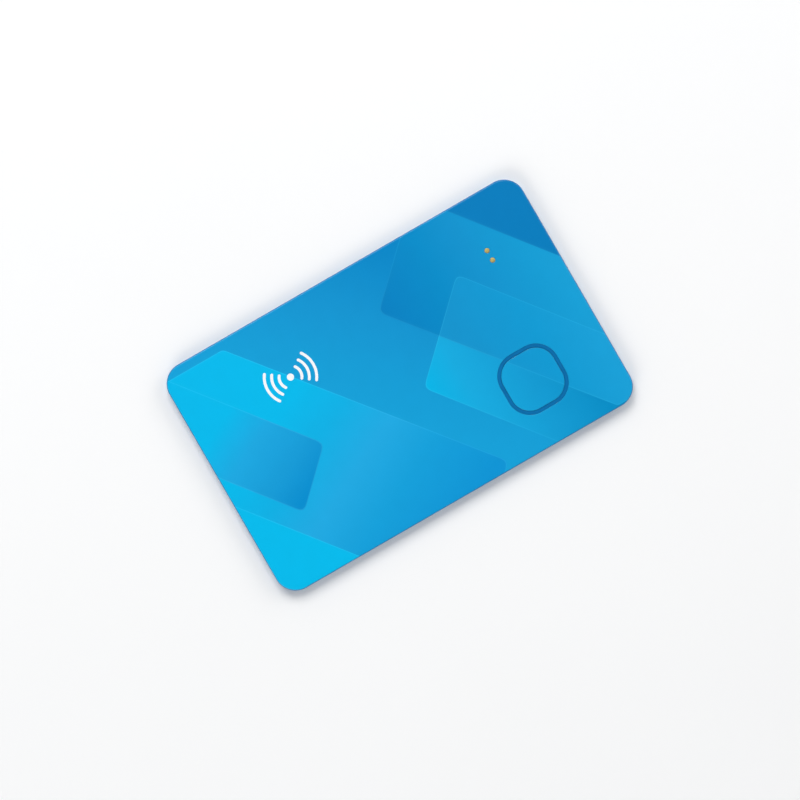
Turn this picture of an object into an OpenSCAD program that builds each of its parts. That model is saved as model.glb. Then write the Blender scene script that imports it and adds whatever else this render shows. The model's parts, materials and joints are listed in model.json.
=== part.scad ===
/* [Card] */
// Length of the card, along X
card_l = 85.6; // [85.6:0.1:90]
// Width of the card, along Y
card_w = 54; // [54:0.1:60]
// Thickness of the card, along Z
card_t = 2.6; // [2.6:0.1:3.4]
// Radius of the card's four corners, seen from the front
corner_r = 4.6; // [3.4:0.1:5.4]
// Rounding of the long outer edges
edge_r = 0.35; // [0.1:0.05:0.4]

/* [Covers] */
// Thickness of the front and rear skins
skin_t = 0.5; // [0.4:0.05:0.5]
// Thickness of the side wall
wall_t = 1.3; // [1.2:0.05:1.4]
// Height of the seam between the covers above the back
seam_z = 0.9; // [0.8:0.05:1.1]
// Thickness of the adhesive in the seam
glue_t = 0.05; // [0.03:0.01:0.08]
// Depth of the open groove that the seam leaves around the side
seam_groove = 0.2; // [0.1:0.05:0.3]
// Width of the locating lip inside the seam
lip_t = 0.45; // [0.35:0.05:0.5]
// Height of the locating lip
lip_h = 0.4; // [0.3:0.05:0.5]

/* [Button] */
// Button centre along X
button_x = 24.8; // [22:0.1:26]
// Button centre along Y
button_y = -12.9; // [-14:0.1:-12]
// Outer size of the soft ring around the button
ring_size = 13.7; // [12:0.1:14]
// Corner radius of the soft ring's outside
ring_r = 5.1; // [4:0.1:5.5]
// Width of the soft ring
ring_w = 0.8; // [0.7:0.05:1]
// How far the ring sits below the face
ring_recess = 0.05; // [0:0.01:0.1]
// Gap between the ring and the button
button_gap = 0.05; // [0.04:0.01:0.1]
// Travel of the button
button_travel = 0.2; // [0.1:0.05:0.25]

/* [Charging contacts] */
// Centre of the contact pair along X
contact_x = 29.95; // [28:0.05:32]
// Centre of the contact pair along Y
contact_y = 14.1; // [12:0.1:16]
// Distance between the two contacts, centre to centre
contact_pitch = 2.3; // [2.3:0.1:3]
// Diameter of a contact's head
contact_d = 1.1; // [0.9:0.1:1.2]

/* [Face mark] */
// Centre of the printed beacon mark along X
mark_x = -19; // [-24:0.5:-12]
// Centre of the printed beacon mark along Y
mark_y = 12.9; // [8:0.5:16]
// Diameter of the dot in the middle of the mark
mark_dot = 1.5; // [1:0.1:2]
// Radius of the innermost arc, at the middle of its line
mark_first_r = 2.4; // [2:0.1:3]
// Distance from one arc to the next
mark_step = 1.55; // [1.2:0.05:2]
// Number of arcs on each side
mark_arcs = 3; // [1:1:3]
// Width of the arcs' lines
mark_line = 0.6; // [0.4:0.05:0.8]
// Half the angle that each arc spans
mark_span = 36; // [20:1:44]

/* [Circuit board] */
// Thickness of the board
board_t = 0.6; // [0.4:0.1:0.6]
// Height of the posts that carry the board
board_lift = 0.3; // [0.2:0.05:0.3]
// Gap between the board and the side wall
board_gap = 0.3; // [0.2:0.05:0.5]

/* [Battery] */
// Length of the pouch cell's body, along X
cell_l = 40; // [36:0.5:40]
// Width of the pouch cell's body, along Y
cell_w = 47; // [40:0.5:47]
// Thickness of the pouch cell
cell_t = 1.4; // [1.2:0.05:1.4]

/* [Sounder] */
// Diameter of the sounder's brass plate
plate_d = 20; // [18:0.5:20]
// Diameter of the ceramic disc on the plate
ceramic_d = 14; // [12:0.5:14]
// Sounder centre along X
sounder_x = 14.6; // [14.4:0.1:15]
// Sounder centre along Y
sounder_y = 14.4; // [14:0.1:14.8]

/* [Hidden] */
$fn = 96;
eps = 0.5;                               // how far a cutter runs past the face it opens

// Levels, from the back face at 0
floor_z = skin_t;
ceiling_z = card_t - skin_t;
front_z = seam_z + glue_t;               // lower rim of the front cover
board_z = floor_z + board_lift;
board_top = board_z + board_t;
pad_t = 0.03;                            // copper and plating on the board
solder_z = board_top + pad_t;

// Cavity inside the side wall
cavity_l = card_l - 2 * wall_t;
cavity_w = card_w - 2 * wall_t;
cavity_r = corner_r - wall_t;
lip_gap = 0.05;

// Button: the pad stands in the ring and its flange is held under the ledge
ledge_t = 0.15;
ledge_w = 0.4;
pad_size = ring_size - 2 * ring_w - 2 * button_gap;
pad_r = ring_r - ring_w - button_gap;
pad_edge_r = 0.08;
flange_size = ring_size - 0.3;
flange_r = ring_r - 0.15;
flange_t = 0.12;
flange_drop = 0.04;                      // free play below the cover's inner face
flange_z = ceiling_z - flange_drop - flange_t;
dome_d = 5;
dome_flat = 0.05;                        // height left when the dome is pressed home
dome_h = button_travel + dome_flat;
dome_t = 0.06;
dome_r = (dome_d * dome_d / 4 + dome_h * dome_h) / (2 * dome_h);
film_t = 0.04;
film_d = 7;
film_gap = 0.01;
nub_d = 2.4;
nub_gap = 0.05;
nub_z = board_top + dome_h + film_gap + film_t + nub_gap;

// Charging contacts
contact_flange_d = 1.9;
contact_flange_t = 0.15;
contact_seal_t = 0.05;
contact_recess = 0.03;
contact_clearance = 0.02;
contact_flange_z = ceiling_z - contact_seal_t - contact_flange_t;
spring_w = 1;
spring_t = 0.08;
spring_leg = 2.4;
spring_h = contact_flange_z - solder_z;

// Printed mark
ink_t = 0.02;

// Circuit board outline, with a bay for the sounder in its upper left corner
board_left = 3.6;
board_right = cavity_l / 2 - board_gap;
board_half_w = cavity_w / 2 - board_gap;
board_corner_r = cavity_r - board_gap;
bay_r = plate_d / 2 + 0.6;
post_d = 2.2;
pin_d = 1;
pin_hole_d = 1.1;
pin_rise = 0.15;
board_pins = [[board_left + 2.6, -board_half_w + 2.6], [board_right - 2.8, -board_half_w + 2.6],
              [board_right - 2.8, 8.6]];
board_posts = [[board_left + 2.6, 1.4], [22.6, 3.0], [board_right - 2.8, -3.6], [27.4, board_half_w - 1.8],
               [20.4, -board_half_w + 2.6], [board_left + 2.6, -11.6]];

// Components on the board: centre [x, y], size [l, w, h]
radio_at = [33.4, 2.4];
radio_size = [5, 5, 0.55];
radio_crystal_at = [37.9, 3.2];
radio_crystal_size = [1.6, 2, 0.45];
clock_crystal_at = [33.4, -2.6];
clock_crystal_size = [2, 1.2, 0.5];
sensor_at = [12.2, -14.6];
sensor_size = [2, 2, 0.6];
charger_at = [35.6, 14.1];
charger_size = [2, 2, 0.5];
driver_at = [25.4, 1.6];
driver_size = [2, 2, 0.5];
inductor_at = [21.2, -1.6];
inductor_size = [2, 1.6, 0.6];
chip_dimple_d = 0.3;
chip_dimple_h = 0.03;
chip_dimple_inset = 0.45;

// Small chips: centre [x, y] and how the chip is turned
chip_l = 1;
chip_w = 0.5;
chip_cap_h = 0.5;
chip_res_h = 0.35;
chip_end = 0.22;
capacitor_places = [
    [29.4, 4.2, 90], [29.4, 2.4, 90], [29.4, 0.6, 90], [31.2, 6.4, 0], [33.4, 6.4, 0],
    [36.9, -0.6, 0], [36.9, -2.2, 0], [35.6, 11.6, 0], [35.6, 16.6, 0], [38.6, 14.1, 90],
    [23.0, 1.6, 90], [18.4, -1.6, 90], [9.2, -14.6, 90], [12.2, -12.2, 0], [8.4, -4.4, 0], [8.4, -6.4, 0]
];
resistor_places = [
    [35.6, 18.0, 0], [38.6, 11.8, 90], [27.8, 1.6, 90], [12.2, -17.0, 0], [15.0, -14.6, 90],
    [11.2, -4.4, 0], [11.2, -6.4, 0], [30.6, -2.6, 90]
];

// Trace antenna in the board's top right corner
antenna_line = 0.4;
antenna_bar = 3.2;
antenna_step = 0.9;
antenna_bars = 8;
antenna_at = [board_right - 8.6, board_half_w - 4.6];

// Battery: the body, its sealed terrace, and the protection board that lies on the terrace
cell_glue_t = 0.05;
cell_z = floor_z + cell_glue_t;
cell_left = -cavity_l / 2 + 0.7;
cell_right = cell_left + cell_l;
cell_mid = cell_left + cell_l / 2;
cell_corner_r = 1.5;
cell_edge_r = 0.45;
terrace_l = 3.2;
terrace_t = 0.2;
terrace_z = cell_z + cell_t / 2 - terrace_t / 2;
fold_t = 0.2;
fold_h = 1.1;
cell_pad_inset = 4;
guard_l = 2.2;
guard_w = 30;
guard_t = 0.3;
guard_x = cell_right + 1.7;
guard_z = terrace_z + terrace_t;
guard_top = guard_z + guard_t;
guard_chips = [[-5.6, 0.3], [5.6, 0.3]];    // place along Y, height
guard_chip_l = 1.4;
guard_chip_w = 2.6;
tab_y = 11;
tab_w = 4;
tab_t = 0.1;
tab_reach = 0.9;
fence_x = 2.8;
fence_t = 0.5;
fence_h = 0.6;
fence_half_w = 22;

// Sounder: brass plate on a glue ring, ceramic disc and silver electrode on the plate
ring_glue_t = 0.1;
ring_glue_w = 1.4;
plate_t = 0.1;
ceramic_t = 0.1;
electrode_t = 0.02;
electrode_d = ceramic_d - 1.2;
plate_z = floor_z + ring_glue_t;
ceramic_z = plate_z + plate_t;
electrode_z = ceramic_z + ceramic_t;
collar_gap = 0.15;
collar_t = 0.25;
collar_h = 0.2;

// Leads: insulated wires that run through the points listed, with round bends
lead_d = 0.3;
lead_sides = 12;
lead_lift = 0.04;                        // gap between a wire's end and what it is soldered to
lead_axis = lead_lift + lead_d / 2;
lead_arch = 0.4;
bend_cut = 0.3;
bend_steps = 3;
lead_top = solder_z + lead_axis;
lead_y = 2.4;
plus_route = battery_route(lead_y);
minus_route = battery_route(-lead_y);
function battery_route(y) = [
    [guard_x - 0.4, y, guard_top + lead_axis], [board_left - 1.2, y, guard_top + lead_axis],
    [board_left + 0.5, y, lead_top], [board_left + 2.2, y, lead_top]
];
function from_sounder(angle, reach, z) = [sounder_x + reach * cos(angle), sounder_y + reach * sin(angle), z];
signal_turn = -45;
signal_route = [
    from_sounder(signal_turn, electrode_d / 2 - 2.2, electrode_z + electrode_t + lead_axis),
    from_sounder(signal_turn, plate_d / 2 - 2.4, electrode_z + lead_arch),
    from_sounder(signal_turn, bay_r - 0.3, lead_top), from_sounder(signal_turn, bay_r + 2, lead_top)
];
ground_turn = -18;
ground_route = [
    from_sounder(ground_turn, plate_d / 2 - 1.8, ceramic_z + lead_axis),
    from_sounder(ground_turn, plate_d / 2 - 0.8, ceramic_z + lead_arch),
    from_sounder(ground_turn, bay_r - 0.3, lead_top), from_sounder(ground_turn, bay_r + 2, lead_top)
];

// Solder: a low cap over each end of each lead: the end, the point before it, the cap's radius
board_solder_r = 0.75;
guard_solder_r = 0.55;
solder_sink = 0.27;                      // part of the radius that lies below the pad
board_joints = [for (r = [plus_route, minus_route, signal_route, ground_route]) [r[3], r[2], board_solder_r]];
disc_joints = [for (r = [signal_route, ground_route]) [r[0], r[1], board_solder_r]];
guard_joints = [for (r = [plus_route, minus_route]) [r[0], r[1], guard_solder_r]];

// Flat outline with four round corners, centred
module rounded_rect(l, w, r) {
    square([l - 2 * r, w], center = true);
    square([l, w - 2 * r], center = true);
    for (x = [-1, 1], y = [-1, 1])
        translate([x * (l / 2 - r), y * (w / 2 - r)])
            circle(r);
}

// Upright plate with round corners
module plate(l, w, r, h) {
    linear_extrude(h)
        rounded_rect(l, w, r);
}

// Upright frame: the outline of size l by w less a margin t all round
module frame(l, w, r, t, h) {
    linear_extrude(h)
        difference() {
            rounded_rect(l, w, r);
            rounded_rect(l - 2 * t, w - 2 * t, r - t);
        }
}

// Section of a rim: it reaches out along X and its upper outer corner is round
module rim_section(reach, h, r) {
    square([reach - r, h]);
    square([reach, h - r]);
    translate([reach - r, h - r])
        circle(r);
}

// Plate whose corners are round and whose upper edge is rounded all the way round
module soft_plate(l, w, h, corner, edge) {
    mid_l = l / 2 - corner;
    mid_w = w / 2 - corner;
    translate([-mid_l, -mid_w, 0])
        cube([2 * mid_l, 2 * mid_w, h]);
    for (i = [0:3])
        translate([(i == 0 || i == 3 ? 1 : -1) * mid_l, (i < 2 ? 1 : -1) * mid_w, 0])
            rotate([0, 0, 90 * i])
                rotate_extrude(angle = 90)
                    rim_section(corner, h, edge);
    for (i = [0:3])
        rotate([0, 0, 90 * i])
            translate([i % 2 == 0 ? mid_l : mid_w, 0, 0])
                rotate([90, 0, 0])
                    linear_extrude(i % 2 == 0 ? 2 * mid_w : 2 * mid_l, center = true)
                        rim_section(corner, h, edge);
}

// Points along a route whose inner corners are rounded
function toward(a, b, reach) = a + (b - a) * reach / norm(b - a);
function blend(a, b, c, t) = a * (1 - t) * (1 - t) + b * 2 * t * (1 - t) + c * t * t;
function corner_points(a, b, c) = [
    for (k = [0:bend_steps]) blend(toward(b, a, bend_cut), b, toward(b, c, bend_cut), k / bend_steps)
];
function rounded_route(p) = concat(
    [p[0]],
    [for (i = [1:len(p) - 2]) each corner_points(p[i - 1], p[i], p[i + 1])],
    [p[len(p) - 1]]
);

// Wire along a route that lies in one upright plane
module wire(route, d) {
    points = rounded_route(route);
    last = len(points) - 1;
    run = points[last] - points[0];
    side = [-run[1], run[0], 0] / norm([run[0], run[1]]);
    rings = [
        for (i = [0:last])
            let (ahead = points[min(i + 1, last)] - points[max(i - 1, 0)])
            let (up = cross(ahead, side) / norm(ahead))
            for (k = [0:lead_sides - 1])
                points[i] + (side * cos(360 * k / lead_sides) + up * sin(360 * k / lead_sides)) * d / 2
    ];
    skin = [
        for (i = [0:last - 1], k = [0:lead_sides - 1])
            let (a = i * lead_sides + k, b = i * lead_sides + (k + 1) % lead_sides)
            [a, b, b + lead_sides, a + lead_sides]
    ];
    start_cap = [for (k = [lead_sides - 1:-1:0]) k];
    end_cap = [for (k = [0:lead_sides - 1]) last * lead_sides + k];
    polyhedron(rings, concat(skin, [start_cap, end_cap]));
}

// Round cap of solder over a wire's end, bored for the wire that runs off towards another point
module solder_cap(end, before, r) {
    run = before - end;
    flat = norm([run[0], run[1]]);
    difference() {
        translate(end - [0, 0, lead_axis])
            rotate_extrude()
                intersection() {
                    translate([0, -solder_sink * r])
                        circle(r);
                    square(r);
                }
        translate(end)
            rotate([0, atan2(flat, run[2]), atan2(run[1], run[0])])
                cylinder(d = lead_d, h = norm(run), $fn = 48);
    }
}

// Flat chip package with a dimple that marks its first terminal
module chip(at, size) {
    translate([at[0], at[1], solder_z])
        difference() {
            translate([-size[0] / 2, -size[1] / 2, 0])
                cube(size);
            translate([chip_dimple_inset - size[0] / 2, size[1] / 2 - chip_dimple_inset, size[2] - chip_dimple_h])
                cylinder(d = chip_dimple_d, h = eps, $fn = 24);
        }
}

// Row of small two-terminal chips, and their metal ends
module chip_bodies(places, h) {
    for (p = places)
        translate([p[0], p[1], solder_z + h / 2])
            rotate([0, 0, p[2]])
                cube([chip_l - 2 * chip_end, chip_w, h], center = true);
}

module chip_ends(places, h) {
    for (p = places, side = [-1, 1])
        translate([p[0], p[1], solder_z + h / 2])
            rotate([0, 0, p[2]])
                translate([side * (chip_l - chip_end) / 2, 0, 0])
                    cube([chip_end, chip_w, h], center = true);
}

module at_contacts() {
    for (side = [-1, 1])
        translate([contact_x, contact_y + side * contact_pitch / 2, 0])
            children();
}

module rear_cover() {
    color("dodgerblue") {
        difference() {
            translate([0, 0, seam_z])
                mirror([0, 0, 1])
                    soft_plate(card_l, card_w, seam_z, corner_r, edge_r);
            translate([0, 0, floor_z])
                plate(cavity_l, cavity_w, cavity_r, card_t);
        }
        translate([0, 0, floor_z])
            frame(cavity_l + 2 * lip_t, cavity_w + 2 * lip_t, cavity_r + lip_t, lip_t, seam_z + lip_h - floor_z);
        for (p = concat(board_pins, board_posts))
            translate([p[0], p[1], floor_z / 2])
                cylinder(d = post_d, h = board_z - floor_z / 2);
        for (p = board_pins)
            translate([p[0], p[1], floor_z / 2])
                cylinder(d = pin_d, h = board_top + pin_rise - floor_z / 2);
        translate([fence_x, -fence_half_w, floor_z / 2])
            cube([fence_t, 2 * fence_half_w, floor_z / 2 + fence_h]);
        translate([sounder_x, sounder_y, floor_z / 2])
            difference() {
                cylinder(d = plate_d + 2 * collar_gap + 2 * collar_t, h = floor_z / 2 + collar_h);
                translate([0, 0, -eps])
                    cylinder(d = plate_d + 2 * collar_gap, h = card_t);
            }
    }
}

module front_cover() {
    color("deepskyblue")
        difference() {
            translate([0, 0, front_z])
                soft_plate(card_l, card_w, card_t - front_z, corner_r, edge_r);
            translate([0, 0, front_z - eps])
                plate(cavity_l, cavity_w, cavity_r, ceiling_z - front_z + eps);
            translate([0, 0, front_z - eps])
                plate(cavity_l + 2 * (lip_t + lip_gap), cavity_w + 2 * (lip_t + lip_gap),
                      cavity_r + lip_t + lip_gap, seam_z + lip_h + lip_gap - front_z + eps);
            translate([button_x, button_y, ceiling_z + ledge_t])
                plate(ring_size, ring_size, ring_r, card_t);
            translate([button_x, button_y, ceiling_z - eps])
                plate(ring_size - 2 * ledge_w, ring_size - 2 * ledge_w, ring_r - ledge_w, card_t);
            at_contacts()
                translate([0, 0, ceiling_z - eps])
                    cylinder(d = contact_d + 2 * contact_clearance, h = card_t, $fn = 48);
        }
}

module perimeter_adhesive() {
    width = wall_t - lip_t - lip_gap - seam_groove;
    color("silver")
        translate([0, 0, seam_z])
            frame(card_l - 2 * seam_groove, card_w - 2 * seam_groove, corner_r - seam_groove, width, glue_t);
}

module face_mark() {
    color("white")
        translate([mark_x, mark_y, card_t])
            linear_extrude(ink_t) {
                circle(d = mark_dot);
                for (side = [0, 180], i = [0:mark_arcs - 1])
                    rotate(side)
                        mark_arc(mark_first_r + i * mark_step);
            }
}

// One arc of the mark, cut from a ring by a wedge, with round ends
module mark_arc(r) {
    reach = 2 * r;
    for (end = [-mark_span, mark_span])
        rotate(end)
            translate([r, 0])
                circle(d = mark_line, $fn = 48);
    intersection() {
        difference() {
            circle(r + mark_line / 2);
            circle(r - mark_line / 2);
        }
        polygon([[0, 0], [reach * cos(mark_span), -reach * sin(mark_span)], [2 * reach, 0],
                 [reach * cos(mark_span), reach * sin(mark_span)]]);
    }
}

module button_pad() {
    color("deepskyblue")
        translate([button_x, button_y, 0]) {
            translate([0, 0, flange_z + flange_t / 2])
                soft_plate(pad_size, pad_size, card_t - flange_z - flange_t / 2, pad_r, pad_edge_r);
            translate([0, 0, flange_z])
                plate(flange_size, flange_size, flange_r, flange_t);
            translate([0, 0, nub_z])
                cylinder(d = nub_d, h = flange_z + flange_t / 2 - nub_z);
        }
}

module button_ring() {
    color("navy")
        translate([button_x, button_y, ceiling_z + ledge_t])
            frame(ring_size, ring_size, ring_r, ring_w, skin_t - ledge_t - ring_recess);
}

// Section of a shallow dome between two radii, above the board
module dome_section(outer_r, inner_r, centre_z) {
    intersection() {
        translate([0, centre_z])
            difference() {
                circle(outer_r, $fn = 720);
                circle(inner_r, $fn = 720);
            }
        square([film_d / 2, dome_h * 2]);
    }
}

module snap_dome() {
    color("lightgray")
        translate([button_x, button_y, board_top])
            rotate_extrude()
                dome_section(dome_r, dome_r - dome_t, dome_h - dome_r);
}

module dome_film() {
    inner = dome_r + film_gap;
    color("khaki")
        translate([button_x, button_y, board_top])
            rotate_extrude()
                difference() {
                    union() {
                        dome_section(inner + film_t, inner - film_t, dome_h - dome_r);
                        square([film_d / 2, film_t]);
                    }
                    translate([0, dome_h - dome_r])
                        circle(inner, $fn = 720);
                }
}

module charging_contacts() {
    color("gold")
        at_contacts() {
            translate([0, 0, contact_flange_z])
                cylinder(d = contact_flange_d, h = contact_flange_t, $fn = 48);
            translate([0, 0, contact_flange_z])
                cylinder(d = contact_d, h = card_t - contact_recess - contact_flange_z, $fn = 48);
        }
}

module contact_seals() {
    color("dimgray")
        at_contacts()
            translate([0, 0, ceiling_z - contact_seal_t])
                difference() {
                    cylinder(d = contact_flange_d, h = contact_seal_t, $fn = 48);
                    translate([0, 0, -eps])
                        cylinder(d = contact_d + 2 * contact_clearance, h = card_t, $fn = 48);
                }
}

// Leaf spring folded into a U that lies on its side, open towards -X
module contact_springs() {
    color("goldenrod")
        at_contacts()
            translate([0, spring_w / 2, solder_z])
                rotate([90, 0, 0])
                    linear_extrude(spring_w) {
                        translate([-spring_w / 2, spring_h - spring_t])
                            square([spring_leg + spring_w / 2, spring_t]);
                        square([spring_leg, spring_t]);
                        intersection() {
                            translate([spring_leg, spring_h / 2])
                                difference() {
                                    circle(spring_h / 2, $fn = 48);
                                    circle(spring_h / 2 - spring_t, $fn = 48);
                                }
                            translate([spring_leg, 0])
                                square([spring_h, spring_h]);
                        }
                    }
}

module board_outline() {
    difference() {
        translate([-board_right, -board_half_w])
            translate([board_right, board_half_w])
                rounded_rect(2 * board_right, 2 * board_half_w, board_corner_r);
        translate([-card_l, -card_w])
            square([card_l + board_left, 2 * card_w]);
        translate([sounder_x, sounder_y])
            circle(bay_r);
        translate([-card_l, sounder_y - bay_r])
            square([card_l + sounder_x, card_w]);
        translate([-card_l, sounder_y])
            square([card_l + sounder_x + bay_r, card_w]);
    }
}

module circuit_board() {
    color("darkgreen")
        translate([0, 0, board_z])
            difference() {
                linear_extrude(board_t)
                    board_outline();
                for (p = board_pins)
                    translate([p[0], p[1], -eps])
                        cylinder(d = pin_hole_d, h = card_t, $fn = 48);
            }
}

// Plated pads: under the leads, under the contact springs, and five round test points
module solder_pads() {
    lead_pad = [1.8, 1.6];
    spring_pad = [2, 1.2];
    test_d = 1;
    test_pitch = 1.8;
    color("gold")
        translate([0, 0, board_top]) {
            for (j = board_joints)
                translate([j[0][0] - lead_pad[0] / 2, j[0][1] - lead_pad[1] / 2, 0])
                    cube([lead_pad[0], lead_pad[1], pad_t]);
            at_contacts()
                translate([0.2, -spring_pad[1] / 2, 0])
                    cube([spring_pad[0], spring_pad[1], pad_t]);
            for (i = [0:4])
                translate([board_left + 5.2 + i * test_pitch, -board_half_w + 1.6, 0])
                    cylinder(d = test_d, h = pad_t, $fn = 48);
        }
}

// Meander of thin copper: upright bars joined by turns at alternate ends
module trace_antenna() {
    color("orange")
        translate([antenna_at[0], antenna_at[1], board_top])
            linear_extrude(pad_t) {
                for (i = [0:antenna_bars - 1])
                    translate([i * antenna_step, 0])
                        square([antenna_line, antenna_bar]);
                for (i = [0:antenna_bars - 2])
                    translate([i * antenna_step, i % 2 == 0 ? antenna_bar - antenna_line : 0])
                        square([antenna_step + antenna_line, antenna_line]);
                translate([0, -antenna_bar])
                    square([antenna_line, antenna_bar + antenna_line]);
            }
}

module radio_chip() {
    color("black")
        chip(radio_at, radio_size);
}

module radio_crystal() {
    color("silver")
        chip(radio_crystal_at, radio_crystal_size);
}

module clock_crystal() {
    color("silver")
        chip(clock_crystal_at, clock_crystal_size);
}

module motion_sensor() {
    color("dimgray")
        chip(sensor_at, sensor_size);
}

module charge_controller() {
    color("black")
        chip(charger_at, charger_size);
}

module sounder_driver() {
    color("black")
        chip(driver_at, driver_size);
}

module boost_inductor() {
    color("slategray")
        chip(inductor_at, inductor_size);
}

module chip_capacitors() {
    color("tan")
        chip_bodies(capacitor_places, chip_cap_h);
}

module chip_resistors() {
    color("black")
        chip_bodies(resistor_places, chip_res_h);
}

module chip_terminals() {
    color("lightgray") {
        chip_ends(capacitor_places, chip_cap_h);
        chip_ends(resistor_places, chip_res_h);
    }
}

module solder_joints() {
    color("silver")
        for (j = concat(board_joints, disc_joints, guard_joints))
            solder_cap(j[0], j[1], j[2]);
}

// Pouch cell: soft-edged body, flat sealed terrace at its right end, sides folded up
module battery_pouch() {
    half = cell_t / 2;
    color("gainsboro") {
        translate([cell_mid, 0, cell_z + half]) {
            soft_plate(cell_l, cell_w, half, cell_corner_r, cell_edge_r);
            mirror([0, 0, 1])
                soft_plate(cell_l, cell_w, half, cell_corner_r, cell_edge_r);
        }
        translate([cell_right - cell_edge_r, cell_corner_r - cell_w / 2, terrace_z])
            cube([terrace_l + cell_edge_r, cell_w - 2 * cell_corner_r, terrace_t]);
        for (side = [-1, 1])
            translate([cell_mid, side * cell_w / 2, cell_z + half])
                cube([cell_l - 2 * cell_corner_r, 2 * fold_t, cell_t - 2 * cell_edge_r], center = true);
    }
}

module battery_adhesive() {
    color("whitesmoke")
        translate([cell_mid, 0, floor_z])
            plate(cell_l - 2 * cell_pad_inset, cell_w - 2 * cell_pad_inset, cell_corner_r, cell_glue_t);
}

module battery_foam() {
    color("dimgray")
        translate([cell_mid, 0, cell_z + cell_t])
            plate(cell_l - 2 * cell_pad_inset, cell_w - 2 * cell_pad_inset, cell_corner_r,
                  ceiling_z - cell_z - cell_t);
}

// Nickel tabs: they leave the terrace's end, fold up and lie on the protection board
module battery_tabs() {
    end_x = cell_right + terrace_l;
    color("lightgray")
        for (side = [-1, 1])
            translate([0, side * tab_y - tab_w / 2, 0]) {
                translate([end_x, 0, terrace_z + tab_t / 2])
                    cube([tab_t, tab_w, guard_top - terrace_z + tab_t / 2]);
                translate([end_x - tab_reach, 0, guard_top])
                    cube([tab_reach + tab_t, tab_w, tab_t]);
            }
}

module protection_board() {
    color("darkgreen")
        translate([guard_x - guard_l / 2, -guard_w / 2, guard_z])
            cube([guard_l, guard_w, guard_t]);
}

module protection_chips() {
    color("black")
        for (c = guard_chips)
            translate([guard_x - guard_chip_l / 2, c[0] - guard_chip_w / 2, guard_top])
                cube([guard_chip_l, guard_chip_w, c[1]]);
}

module battery_lead_plus() {
    color("red")
        wire(plus_route, lead_d);
}

module battery_lead_minus() {
    color("black")
        wire(minus_route, lead_d);
}

module sounder_disc(z, d, h) {
    translate([sounder_x, sounder_y, z])
        cylinder(d = d, h = h);
}

module sounder_plate() {
    color("goldenrod")
        sounder_disc(plate_z, plate_d, plate_t);
}

module sounder_ceramic() {
    color("beige")
        sounder_disc(ceramic_z, ceramic_d, ceramic_t);
}

module sounder_electrode() {
    color("silver")
        sounder_disc(electrode_z, electrode_d, electrode_t);
}

module sounder_adhesive() {
    color("whitesmoke")
        difference() {
            sounder_disc(floor_z, plate_d, ring_glue_t);
            sounder_disc(floor_z - eps, plate_d - 2 * ring_glue_w, card_t);
        }
}

module sounder_lead_signal() {
    color("red")
        wire(signal_route, lead_d);
}

module sounder_lead_ground() {
    color("black")
        wire(ground_route, lead_d);
}

rear_cover();
front_cover();
perimeter_adhesive();
face_mark();
button_pad();
button_ring();
snap_dome();
dome_film();
charging_contacts();
contact_seals();
contact_springs();
circuit_board();
solder_pads();
trace_antenna();
radio_chip();
radio_crystal();
clock_crystal();
motion_sensor();
charge_controller();
sounder_driver();
boost_inductor();
chip_capacitors();
chip_resistors();
chip_terminals();
solder_joints();
battery_pouch();
battery_adhesive();
battery_foam();
battery_tabs();
protection_board();
protection_chips();
battery_lead_plus();
battery_lead_minus();
sounder_plate();
sounder_ceramic();
sounder_electrode();
sounder_adhesive();
sounder_lead_signal();
sounder_lead_ground();
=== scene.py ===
import json
import math
from functools import partial

import bmesh
import bpy
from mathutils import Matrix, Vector


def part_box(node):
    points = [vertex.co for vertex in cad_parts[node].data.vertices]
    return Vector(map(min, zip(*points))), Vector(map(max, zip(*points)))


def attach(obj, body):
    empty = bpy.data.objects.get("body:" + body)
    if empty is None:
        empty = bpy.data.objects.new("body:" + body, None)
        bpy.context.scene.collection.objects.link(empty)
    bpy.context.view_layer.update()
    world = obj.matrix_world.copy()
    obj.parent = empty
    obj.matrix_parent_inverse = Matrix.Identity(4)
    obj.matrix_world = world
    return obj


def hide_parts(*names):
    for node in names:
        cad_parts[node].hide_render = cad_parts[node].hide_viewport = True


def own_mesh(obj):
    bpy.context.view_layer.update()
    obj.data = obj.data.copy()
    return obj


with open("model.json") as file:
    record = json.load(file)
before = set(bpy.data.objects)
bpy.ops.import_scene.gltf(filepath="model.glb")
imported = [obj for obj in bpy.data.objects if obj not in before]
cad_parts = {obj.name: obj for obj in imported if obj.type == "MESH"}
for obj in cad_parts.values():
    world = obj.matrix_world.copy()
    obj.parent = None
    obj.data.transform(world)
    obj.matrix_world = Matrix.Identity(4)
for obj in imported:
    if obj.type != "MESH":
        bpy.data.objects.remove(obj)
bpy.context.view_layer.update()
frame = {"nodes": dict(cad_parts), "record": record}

MM = 0.001                      # metres in a millimetre

# ---------------------------------------------------------------- camera and light

CARD_ANGLE = math.radians(30)   # how far the card's long side rises to the right in the view
LENS = 200.0
SENSOR = 36.0
CLIP_START = 0.01
VIEW_WIDTH = 167.7 * MM         # what the view takes in, at the height of the card's face
AIM_RIGHT = 0.05 * MM           # from the card's centre to the view's, across and down the view
AIM_DOWN = 3.13 * MM

# The square softboxes, all aimed at the card's centre: name, place, side and power.
SOFTBOXES = [("key_softbox", (0.12, 0.62, 0.78), 0.6, 6.6),
             ("fill_softbox", (-0.66, -0.50, 0.62), 0.6, 3.2),
             ("side_softbox", (0.85, 0.10, 0.55), 0.5, 2.0)]

ROOM_LEVEL = 0.66               # brightness of the room's walls and floor
CEILING_LEVEL = 0.03
DIM_FROM = 0.35                 # the room dims between these heights, of 1 straight above
DIM_TO = 0.97


def link(name, data):
    thing = bpy.data.objects.new(name, data)
    bpy.context.scene.collection.objects.link(thing)
    return thing


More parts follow.
